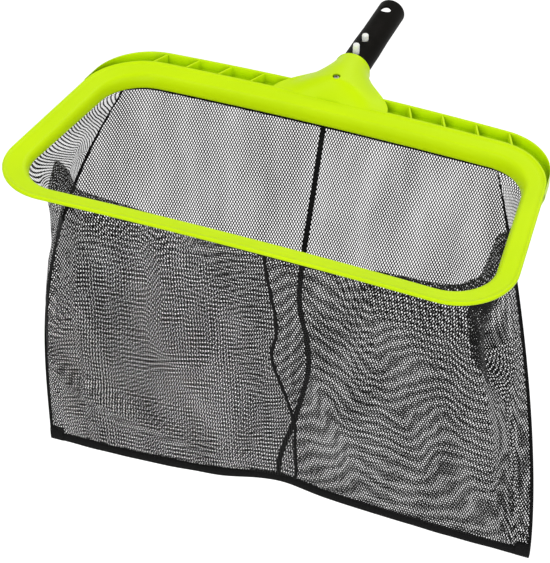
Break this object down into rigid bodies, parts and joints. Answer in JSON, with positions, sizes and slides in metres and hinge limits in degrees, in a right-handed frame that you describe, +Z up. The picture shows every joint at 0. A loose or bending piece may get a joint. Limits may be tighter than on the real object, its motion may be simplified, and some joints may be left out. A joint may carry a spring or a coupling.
{
  "type": "pool leaf rake",
  "caption": "Deep-bag pool leaf rake: moulded lime frame with a flared lip and ribbed back, black sewn mesh bag, black tapered handle with a white snap clip.",
  "frame": {"origin": "centre of the handle's open end, on the handle's axis, where the pole comes on", "axes": "+Y out of the handle along the pole, +Z up out of the net's mouth, +X along the width of the mouth"},
  "size_m": [0.5157, 0.4147, 0.4077],
  "materials": {
    "lime_plastic": "moulded, semi-gloss",
    "black_plastic": "moulded, satin",
    "white_nylon": "natural nylon",
    "screw_steel": "stainless",
    "spline_rubber": "matte",
    "net_mesh": "open knitted polyester mesh",
    "binding_tape": "folded and stitched tape"
  },
  "bodies": {
    "rake": {"frame": "lime_plastic", "handle_tube": "black_plastic", "neck_screw": "screw_steel", "clip_bend": "white_nylon", "retaining_spline": "spline_rubber", "front_left_net": "net_mesh", "front_right_net": "net_mesh", "back_left_net": "net_mesh", "back_right_net": "net_mesh", "front_centre_seam": "binding_tape", "back_centre_seam": "binding_tape", "left_side_seam": "binding_tape", "right_side_seam": "binding_tape", "bottom_hem": "binding_tape", "left_corner_patch": "binding_tape", "right_corner_patch": "binding_tape", "mouth_binding": "binding_tape"},
    "upper_arm": {"clip_upper_arm": "white_nylon"},
    "lower_arm": {"clip_lower_arm": "white_nylon"}
  },
  "joints": [
    {"name": "upper_arm_press", "type": "hinge", "parent": "rake", "child": "upper_arm", "pos_m": [0, -0.035, 0.003], "axis": [1, 0, 0], "range_deg": [0, 7.6], "stiffness_Nm_per_rad": 6, "springref_deg": -2.86},
    {"name": "lower_arm_press", "type": "hinge", "parent": "rake", "child": "lower_arm", "pos_m": [0, -0.035, -0.003], "axis": [-1, 0, 0], "range_deg": [0, 7.6], "stiffness_Nm_per_rad": 6, "springref_deg": -2.86}
  ]
}
